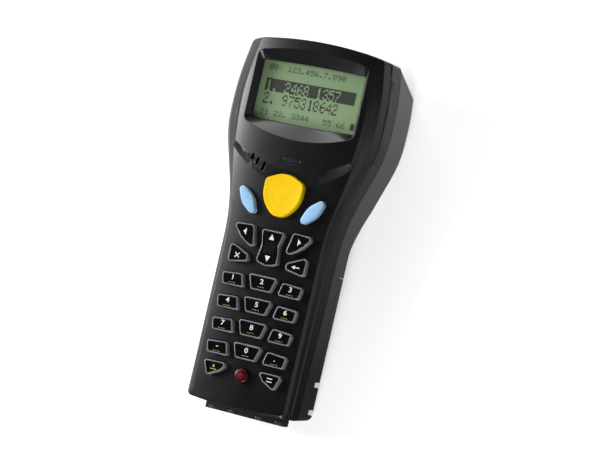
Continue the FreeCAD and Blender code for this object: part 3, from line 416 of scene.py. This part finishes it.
print("stage: key marks")
keyGrid = {"columnPitch": 14.12, "rowPitch": 10.29, "firstRow": -25.16, "columnDrop": 0.7}
markLook = {"digit": 3.1, "thick": 0.04, "heavier": 0.05, "digitRise": 0.75, "dashes": (-1.2, 0, 1.2),
            "dashDrop": 1.7, "dashLength": 0.8, "dashWidth": 0.22}


def inkText(text, name, x, y, size, body, finish="whiteInk", stretch=1.15):
    deselectAll()
    bpy.ops.object.text_add(location=(0, 0, 0))
    mark = bpy.context.object
    mark.data.body = text
    mark.data.size = size * mm
    mark.data.align_x = "CENTER"
    mark.data.align_y = "CENTER"
    mark.data.extrude = markLook["thick"] / 2 * mm
    mark.data.offset = markLook["heavier"] * mm
    mark.data.resolution_u = 4
    bpy.ops.object.convert(target="MESH")
    mark = bpy.context.object
    mark.name = name
    mark.data.name = name
    mark.data.transform(Matrix.Diagonal((stretch, 1, 1, 1)))
    mark.data.transform(Matrix.Translation((x * mm, y * mm, (keyFace["top"] + keyFace["inkRise"]) * mm)))
    paint(mark, finish)
    finishPiece(mark, body, "black_key")


def inkShape(name, points, body, finish="whiteInk", level=None, rise=0, slope=0):
    # a flat mark: a filled outline, extruded by the ink's thickness; a slope makes it follow a leaning surface
    deselectAll()
    bpy.ops.mesh.primitive_circle_add(vertices=len(points), radius=mm, fill_type="NGON")
    mark = bpy.context.object
    mark.name = name
    mark.data.name = name
    under = (keyFace["top"] if level is None else level) - markLook["thick"] / 2 + keyFace["inkRise"] + rise
    for vertex, (x, y) in zip(mark.data.vertices, points):
        vertex.co = (x * mm, y * mm, (under + slope * y) * mm)
    bpy.ops.object.mode_set(mode="EDIT")
    bpy.ops.mesh.select_all(action="SELECT")
    bpy.ops.mesh.extrude_region_move(TRANSFORM_OT_translate={"value": (0, 0, markLook["thick"] * mm)})
    bpy.ops.mesh.select_all(action="SELECT")
    bpy.ops.mesh.normals_make_consistent(inside=False)
    bpy.ops.object.mode_set(mode="OBJECT")
    paint(mark, finish)
    finishPiece(mark, body, "black_key")


numberKeys = [["number_key_1", "number_key_2", "number_key_3"], ["number_key_4", "number_key_5", "number_key_6"],
              ["number_key_7", "number_key_8", "number_key_9"], ["minus_key", "number_key_0", "dot_key"]]
for row, names in enumerate(numberKeys):
    for column, name in enumerate(names):
        x = (column - 1) * keyGrid["columnPitch"]
        y = keyGrid["firstRow"] - row * keyGrid["rowPitch"] - (0 if column == 1 else keyGrid["columnDrop"])
        text = {"minus_key": "-", "dot_key": "."}.get(name, name[-1])
        inkText(text, name + "_mark", x, y + markLook["digitRise"], markLook["digit"], name + "_body")
        half, low = markLook["dashLength"] / 2, y - markLook["dashDrop"]
        high = low + markLook["dashWidth"]
        for place in markLook["dashes"]:
            left, right = x + place - half, x + place + half
            outline = [(left, low), (right, low), (right, high), (left, high)]
            inkShape("%s_under_mark_%d" % (name, place * 10 + 12), outline, name + "_body", "yellowInk")


def triangle(x, y, size, angle):
    return [(x + size * math.cos(math.radians(angle + turn)), y + size * math.sin(math.radians(angle + turn)))
            for turn in (0, 125, 235)]


inkShape("arrow_left_mark", [(-14.1, -4.1), (-12.6, -5.6), (-12.6, -2.6)], "arrow_key_left_body")
inkShape("arrow_right_mark", [(14.1, -4.1), (12.6, -2.6), (12.6, -5.6)], "arrow_key_right_body")
inkShape("rocker_up_mark", triangle(0, -4.6, 1.6, 90), "rocker_key_body")
inkShape("rocker_down_mark", triangle(0, -13.6, 1.6, 270), "rocker_key_body")


def ringPoints(x, y, radius, start, end, steps):
    return [(x + radius * math.cos(math.radians(start + (end - start) * number / steps)),
             y + radius * math.sin(math.radians(start + (end - start) * number / steps)))
            for number in range(steps + 1)]


def band(x, y, radius, width, start=0, end=360, steps=28):
    # outline of a curved stroke; a whole ring is left open by a hair
    end = min(end, start + 359.5)
    return (ringPoints(x, y, radius + width / 2, start, end, steps)
            + ringPoints(x, y, radius - width / 2, end, start, steps))


def stroke(x1, y1, x2, y2, width):
    length = math.hypot(x2 - x1, y2 - y1)
    sideX, sideY = -(y2 - y1) / length * width / 2, (x2 - x1) / length * width / 2
    return [(x1 - sideX, y1 - sideY), (x2 - sideX, y2 - sideY), (x2 + sideX, y2 + sideY), (x1 + sideX, y1 + sideY)]


# plain signs on the corner and lower keys: a cross, an arrow back, an up arrow and two bars
inkShape("corner_left_mark_a", stroke(-15.6, -16.2, -13.4, -14.0, 0.45), "corner_key_left_body")
inkShape("corner_left_mark_b", stroke(-15.6, -14.0, -13.4, -16.2, 0.45), "corner_key_left_body", rise=0.005)
inkShape("corner_right_mark_a", triangle(13.2, -15.1, 1.1, 180), "corner_key_right_body")
inkShape("corner_right_mark_b", stroke(13.4, -15.1, 16.0, -15.1, 0.5), "corner_key_right_body", rise=0.005)
inkShape("lower_left_mark_a", triangle(-13.7, -65.0, 0.9, 90), "lower_key_left_body", "yellowInk")
inkShape("lower_left_mark_b", stroke(-15.2, -66.4, -12.2, -66.4, 0.35), "lower_key_left_body", "yellowInk")
inkShape("lower_right_mark_a", stroke(12.5, -66.1, 15.1, -66.1, 0.4), "lower_key_right_body")
inkShape("lower_right_mark_b", stroke(12.5, -64.7, 15.1, -64.7, 0.4), "lower_key_right_body")
powerTop = keyFace["top"] + 0.26
inkShape("power_mark_ring", band(0, -66.4, 1.05, 0.28, 120, 420), "power_key_body", "redInk", powerTop)
inkShape("power_mark_bar", stroke(0, -66.5, 0, -65.0, 0.28), "power_key_body", "redInk", powerTop)

print("stage: rocker ribs, lens and ridges")


def smallBar(name, length, width, height, rounding):
    # a low rounded bar across the terminal, made from a cube at the middle
    deselectAll()
    bpy.ops.mesh.primitive_cube_add(size=1)
    bar = bpy.context.object
    bar.name = name
    bar.data.name = name
    bar.data.transform(Matrix.Diagonal((length * mm, width * mm, height * mm, 1)))
    bpy.ops.object.mode_set(mode="EDIT")
    bpy.ops.mesh.select_all(action="SELECT")
    bpy.ops.mesh.bevel(offset=rounding * mm, segments=3)
    bpy.ops.object.mode_set(mode="OBJECT")
    smooth(bar, 40)
    return bar


def barCopy(bar, name, x, y, z):
    # a copy with its own mesh, at its place
    piece = bpy.data.objects.new(name, bar.data.copy())
    bpy.context.scene.collection.objects.link(piece)
    piece.data.name = name
    piece.data.transform(Matrix.Translation((x * mm, y * mm, z * mm)))
    return piece


def dropPattern(bar):
    bpy.data.objects.remove(bar, do_unlink=True)


ribs = {"first": -6.9, "last": -11.3, "count": 7, "length": 4.6, "width": 0.34, "height": 0.24, "rounding": 0.1}
oneRib = smallBar("rib_pattern", ribs["length"], ribs["width"], ribs["height"], ribs["rounding"])
for number in range(ribs["count"]):
    y = ribs["first"] + (ribs["last"] - ribs["first"]) * number / (ribs["count"] - 1)
    rib = barCopy(oneRib, "rocker_rib_%d" % number, 0, y, keyFace["top"])
    paint(rib, "keyLacquer")
    finishPiece(rib, "rocker_key_body", "black_key")
dropPattern(oneRib)

# the charging contacts turn over the upper edge of the plate at the grip's end
contactLips = {"places": (-16.8, -6.9, 6.9, 16.8), "y": -83.6, "level": -12.28, "length": 2.4, "width": 1.3,
               "height": 0.2, "rounding": 0.06}
oneLip = smallBar("lip_pattern", contactLips["length"], contactLips["width"], contactLips["height"],
                  contactLips["rounding"])
for number, x in enumerate(contactLips["places"]):
    lip = barCopy(oneLip, "contact_lip_%d" % number, x, contactLips["y"], contactLips["level"])
    paint(lip, "goldPlate")
    finishPiece(lip, "case", "gold_contact")
dropPattern(oneLip)

# the back: finger ridges on the battery cover and its latch, and a bare label
backSlope = 0.0101                      # the grip's back falls towards the end
backAtZero = -24.95
ridgeForm = {"width": 0.9, "height": 0.7, "rounding": 0.3, "sunk": 0.05}
ridges = {"cover": {"first": -49.0, "step": -2.0, "count": 5, "length": 20.0},
          "latch": {"first": -67.8, "step": -2.0, "count": 3, "length": 15.0}}
for body, row in ridges.items():
    oneRidge = smallBar("ridge_pattern", row["length"], ridgeForm["width"], ridgeForm["height"], ridgeForm["rounding"])
    for number in range(row["count"]):
        y = row["first"] + row["step"] * number
        z = backAtZero + backSlope * y - ridgeForm["sunk"]
        ridge = barCopy(oneRidge, "%s_ridge_%d" % (body, number), 0, y, z)
        paint(ridge, "caseAbs")
        finishPiece(ridge, body, "case_plastic")
    dropPattern(oneRidge)
label = {"half": 13.0, "low": -41.0, "high": -24.0, "corner": 1.5, "sunk": 0.04}
outline = []
for x, y, start in ((1, "high", 0), (-1, "high", 90), (-1, "low", 180), (1, "low", 270)):
    inward = -label["corner"] if y == "high" else label["corner"]
    across = x * (label["half"] - label["corner"])
    outline += ringPoints(across, label[y] + inward, label["corner"], start, start + 90, 6)
inkShape("cover_label", outline, "cover", "labelFilm", backAtZero - label["sunk"], slope=backSlope)

lensDome = {"rings": ((0.94, -0.05), (0.84, -0.1), (0.66, -0.15), (0.42, -0.18), (0.2, -0.19)), "smooth": 40}
lens = copyOfNode("status_lens", "status_lens_dome")
topFaces(lens, topOf("status_lens"))
scaleInwards(lens, lensDome["rings"])
bpy.ops.object.mode_set(mode="OBJECT")
smooth(lens, lensDome["smooth"])
paint(lens, "smokedLens")
finishPiece(lens, "case", "status_lens", "status_lens")

print("stage: display")
digitRows = {
    "0": ("01110", "10001", "10011", "10101", "11001", "10001", "01110"),
    "1": ("00100", "01100", "00100", "00100", "00100", "00100", "01110"),
    "2": ("01110", "10001", "00001", "00110", "01000", "10000", "11111"),
    "3": ("01110", "10001", "00001", "00110", "00001", "10001", "01110"),
    "4": ("00010", "00110", "01010", "10010", "11111", "00010", "00010"),
    "5": ("11111", "10000", "11110", "00001", "00001", "10001", "01110"),
    "6": ("00110", "01000", "10000", "11110", "10001", "10001", "01110"),
    "7": ("11111", "00001", "00010", "00100", "01000", "01000", "01000"),
    "8": ("01110", "10001", "10001", "01110", "10001", "10001", "01110"),
    "9": ("01110", "10001", "10001", "01111", "00001", "00010", "01100"),
    "-": ("00000", "00000", "00000", "11111", "00000", "00000", "00000"),
    ":": ("00000", "00100", "00000", "00000", "00000", "00100", "00000"),
    ".": ("00000", "00000", "00000", "00000", "00000", "01100", "01100"),
    " ": ("00000",) * 7}
screen = {"columns": 128, "rows": 66, "pitchX": 0.367, "pitchY": 0.36, "left": -22.6, "top": 72.3,
          "level": topOf("display_panel") + 0.03, "gap": 0.003}
# each line: text, first column, first row, how wide and how tall its digits are
screenLines = [("00: 123.456.7.890", 0, 1, 1, 1), ("1. 2468 1357", 0, 21, 1.4, 2), ("2. 975318642", 0, 37, 1.4, 2),
               ("11 22. 3344   55:66", 0, 58, 1, 1)]
chosenBar = {"columns": (0, 120), "rows": (19, 35)}
batterySign = {"columns": (121, 126), "rows": (57, 65)}


def cellsOf(block):
    return {(column, row) for column in range(*block["columns"]) for row in range(*block["rows"])}


dark = cellsOf(chosenBar)              # a line's dots turn pale where they fall on the bar
for text, startColumn, startRow, wide, tall in screenLines:
    for place, character in enumerate(text):
        pattern = digitRows[character]
        for dotRow in range(7 * tall):
            for dotColumn in range(round(5 * wide)):
                if pattern[dotRow // tall][int(dotColumn / wide)] == "1":
                    cell = (startColumn + 1 + round(place * 6 * wide) + dotColumn, startRow + dotRow)
                    dark ^= {cell}
dark |= cellsOf(batterySign)
deselectAll()
bpy.ops.mesh.primitive_grid_add(x_subdivisions=screen["columns"], y_subdivisions=screen["rows"], size=1.0)
dots = bpy.context.object
dots.name = "display_dots"
dots.data.name = "display_dots"
width = screen["columns"] * screen["pitchX"]
height = screen["rows"] * screen["pitchY"]
for vertex in dots.data.vertices:
    vertex.co = ((screen["left"] + (vertex.co.x + 0.5) * width) * mm,
                 (screen["top"] - height + (vertex.co.y + 0.5) * height) * mm, screen["level"] * mm)
bpy.ops.object.mode_set(mode="EDIT")
bpy.ops.mesh.select_all(action="DESELECT")
bpy.ops.mesh.select_mode(type="FACE")
bpy.ops.object.mode_set(mode="OBJECT")
for face in dots.data.polygons:
    column = int((face.center.x / mm - screen["left"]) / screen["pitchX"])
    row = int((screen["top"] - face.center.y / mm) / screen["pitchY"])
    face.select = (column, row) not in dark
bpy.ops.object.mode_set(mode="EDIT")
bpy.ops.mesh.delete(type="FACE")
bpy.ops.mesh.select_all(action="SELECT")
bpy.ops.mesh.inset(thickness=screen["gap"] * mm, use_individual=True, use_boundary=True)
bpy.ops.mesh.select_all(action="INVERT")
bpy.ops.mesh.delete(type="FACE")
bpy.ops.object.mode_set(mode="OBJECT")
paint(dots, "displayDots")
finishPiece(dots, "case", "display")

print("stage: light and camera")
view = {"turn": 23.0, "rise": 1.80, "roll": -12.79, "distance": 849.98, "focal": 1934.6, "across": 10.87,
        "up": 1.33, "imageWidth": 600, "sensor": 36.0, "clipEnd": 20.0}
turn, rise, roll = [math.radians(view[name]) for name in ("turn", "rise", "roll")]
back = Vector((math.sin(turn) * math.cos(rise), -math.sin(rise), math.cos(turn) * math.cos(rise)))
right = Vector((0, 1, 0)).cross(back).normalized()
upward = back.cross(right)
rolledRight = math.cos(roll) * right - math.sin(roll) * upward
rolledUp = math.sin(roll) * right + math.cos(roll) * upward
eye = (view["distance"] * back + view["across"] * rolledRight + view["up"] * rolledUp) * mm
cameraMatrix = Matrix((rolledRight, rolledUp, back)).transposed().to_4x4()
cameraMatrix.translation = eye
camera = bpy.data.objects.new("camera", bpy.data.cameras.new("camera"))
bpy.context.scene.collection.objects.link(camera)
camera.matrix_world = facePlace @ cameraMatrix
camera.data.sensor_width = view["sensor"]
camera.data.lens = view["sensor"] * view["focal"] / view["imageWidth"]
camera.data.clip_end = view["clipEnd"]
bpy.context.scene.camera = camera

lamps = {
    "leftStrip": {"place": (-0.84, 0.1, 0.48), "size": (0.44, 0.36), "power": 8.0},
    "leftSoftbox": {"place": (-0.7, 0.1, 0.64), "size": (0.3, 0.4), "power": 0.6},
    "gripFill": {"place": (0.2, -1.0, 0.72), "size": (0.6, 0.6), "power": 9.5},
    "rightGlow": {"place": (0.95, -0.1, 0.6), "size": (0.5, 1.0), "power": 1.2},
    "headSoftbox": {"place": (-0.25, 0.85, 0.45), "size": (0.7, 0.3), "power": 3.4},
}
for name, lamp in lamps.items():
    data = bpy.data.lights.new(name, "AREA")
    data.shape = "RECTANGLE"
    data.size, data.size_y = lamp["size"]
    data.energy = lamp["power"]
    light = bpy.data.objects.new(name, data)
    bpy.context.scene.collection.objects.link(light)
    light.location = lamp["place"]
    light.rotation_euler = (-Vector(lamp["place"])).to_track_quat("-Z", "Y").to_euler()

world = bpy.data.worlds.new("studio")
bpy.context.scene.world = world
world.use_nodes = True
tree = world.node_tree
background = [n for n in tree.nodes if n.type == "BACKGROUND"][0]
background.inputs["Color"].default_value = (1, 1, 1, 1)
sky = {"onObject": 0.02, "inView": 1.0}
lightPath = addNode(tree, "ShaderNodeLightPath")
strength = addNode(tree, "ShaderNodeMapRange", None, {"To Min": sky["onObject"], "To Max": sky["inView"]},
                   {"Value": lightPath.outputs["Is Camera Ray"]})
tree.links.new(strength.outputs["Result"], background.inputs["Strength"])

# white laminate table: matt, with a glow that the camera alone sees, so that it shows white and keeps the shadow; it
# also carries a painted reflection, a glow that only glossy rays see
table = {"size": 6.0, "paint": (0.9, 0.9, 0.9, 1), "rough": 0.9, "glow": 0.5, "reflectionGlowColour": (1, 0.99, 0.96, 1),
         "along": {"From Min": -0.06, "From Max": 0.09, "To Min": 0.12, "To Max": 0.85},
         "aside": {"From Min": -0.02, "From Max": -0.06, "To Min": 0.0, "To Max": 1.0}}
deselectAll()
bpy.ops.mesh.primitive_plane_add(size=table["size"], location=(0, 0, 0))
floor = bpy.context.object
floor.name = "table"
material, tree, shader = newMaterial("whiteTable")
shader.inputs["Base Color"].default_value = table["paint"]
shader.inputs["Roughness"].default_value = table["rough"]
shader.inputs["Specular IOR Level"].default_value = 0.0
output = [n for n in tree.nodes if n.type == "OUTPUT_MATERIAL"][0]
lightPath = addNode(tree, "ShaderNodeLightPath")
glow = addNode(tree, "ShaderNodeEmission", None, {"Color": (1, 1, 1, 1), "Strength": table["glow"]})
lit = addNode(tree, "ShaderNodeAddShader", None, None, {0: shader.outputs[0], 1: glow.outputs[0]})
direct = addNode(tree, "ShaderNodeMixShader", None, None,
                 {"Fac": lightPath.outputs["Is Camera Ray"], 1: shader.outputs[0], 2: lit.outputs[0]})
# painted reflection: what the glossy sides mirror is a glow on the table that only glossy rays see, standing in for a
# paper backdrop; brighter beside the head than beside the grip, and bright on the left
spot = addNode(tree, "ShaderNodeSeparateXYZ", None, None,
               {"Vector": addNode(tree, "ShaderNodeTexCoord").outputs["Object"]})
along = addNode(tree, "ShaderNodeMapRange", None, table["along"], {"Value": spot.outputs["Y"]})
aside = addNode(tree, "ShaderNodeMapRange", None, table["aside"], {"Value": spot.outputs["X"]})
paintedReflection = addNode(tree, "ShaderNodeMath", {"operation": "MAXIMUM"}, None,
                {0: along.outputs["Result"], 1: aside.outputs["Result"]})
reflectionGlow = addNode(tree, "ShaderNodeEmission", None, {"Color": table["reflectionGlowColour"]}, {"Strength": paintedReflection.outputs[0]})
choice = addNode(tree, "ShaderNodeMixShader", None, None,
                 {"Fac": lightPath.outputs["Is Glossy Ray"], 1: direct.outputs[0], 2: reflectionGlow.outputs[0]})
tree.links.new(choice.outputs[0], output.inputs["Surface"])
floor.data.materials.append(material)
deselectAll()

print("stage: done")
